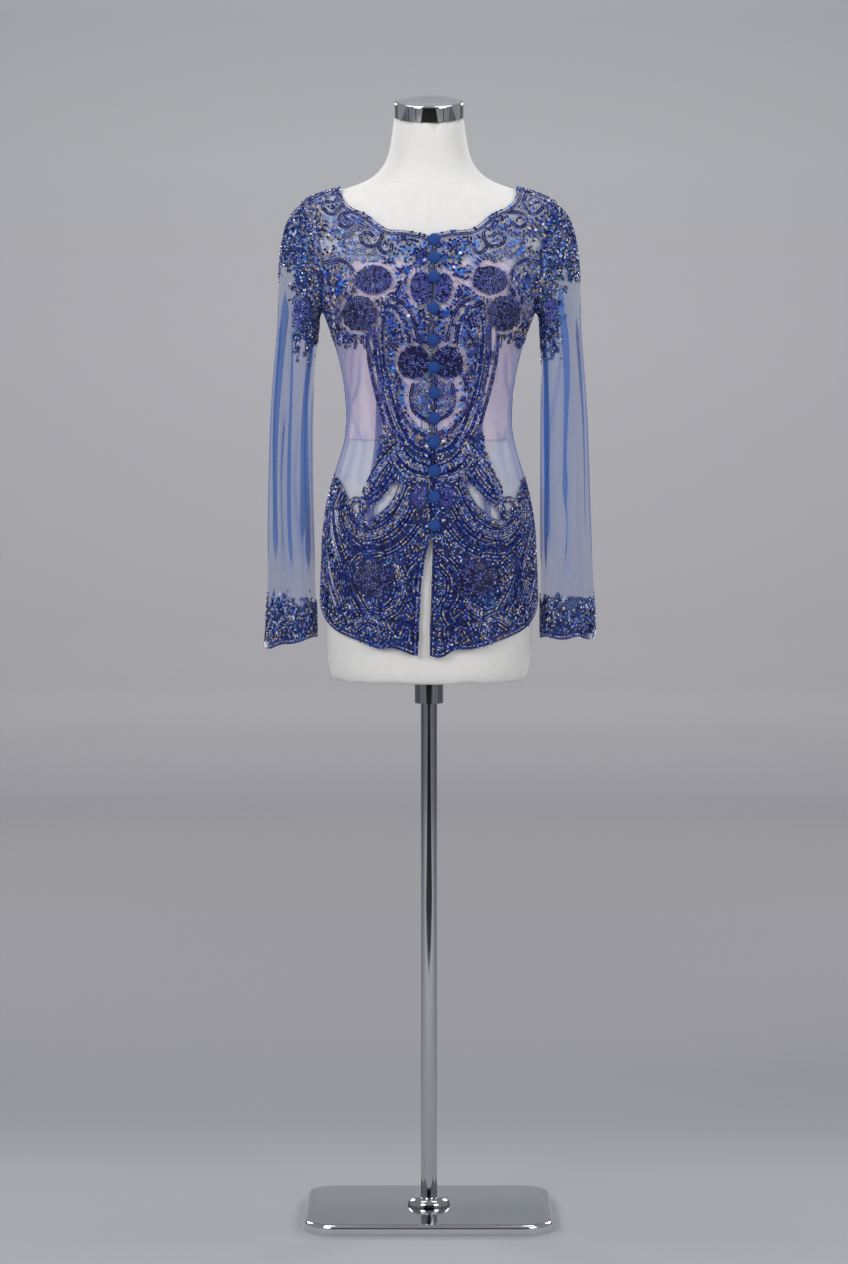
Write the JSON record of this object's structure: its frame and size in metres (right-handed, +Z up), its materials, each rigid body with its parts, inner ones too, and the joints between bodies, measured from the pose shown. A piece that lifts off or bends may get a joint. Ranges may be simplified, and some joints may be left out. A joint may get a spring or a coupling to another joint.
{
  "type": "kebaya blouse on dress form",
  "caption": "Sheer beaded blue kebaya blouse with long sleeves, buttoned at the front, on a limbless dress form with a chrome pole stand.",
  "frame": {"origin": "centre of the base plate's underside, on the pole's axis", "axes": "+Z up along the pole, -Y towards the front of the blouse, +X towards the wearer's left"},
  "size_m": [0.4811, 0.285, 1.6353],
  "materials": {
    "beaded_tulle": "blue tulle covered with glass bead work",
    "tulle": "sheer matt blue tulle",
    "lining": "smooth nude mesh",
    "bead_flower": "close navy bead work",
    "covered_button": "matt blue cloth over a dome",
    "linen_cover": "off-white linen weave",
    "chrome": "polished chrome"
  },
  "bodies": {
    "root": {"front_centre_left": "beaded_tulle", "front_centre_right": "beaded_tulle", "front_side_left": "tulle", "front_side_right": "tulle", "back": "beaded_tulle", "sleeve_left": "tulle", "sleeve_right": "tulle", "lining_front_left": "lining", "lining_front_right": "lining", "lining_back": "lining", "flower_bust_upper_right": "bead_flower", "flower_bust_upper_left": "bead_flower", "flower_bust_lower_right": "bead_flower", "flower_bust_lower_left": "bead_flower", "flower_chest_right": "bead_flower", "flower_chest_left": "bead_flower", "flower_waist_right": "bead_flower", "flower_waist_left": "bead_flower", "flower_hem_right": "bead_flower", "flower_hem_left": "bead_flower", "button_01": "covered_button", "button_02": "covered_button", "button_03": "covered_button", "button_04": "covered_button", "button_05": "covered_button", "button_06": "covered_button", "button_07": "covered_button", "button_08": "covered_button", "button_09": "covered_button", "button_10": "covered_button", "button_11": "covered_button", "button_12": "covered_button", "dress_form": "linen_cover", "neck_cap": "chrome", "pole_socket": "chrome", "pole": "chrome", "base_flange": "chrome", "base_plate": "chrome"}
  },
  "joints": []
}
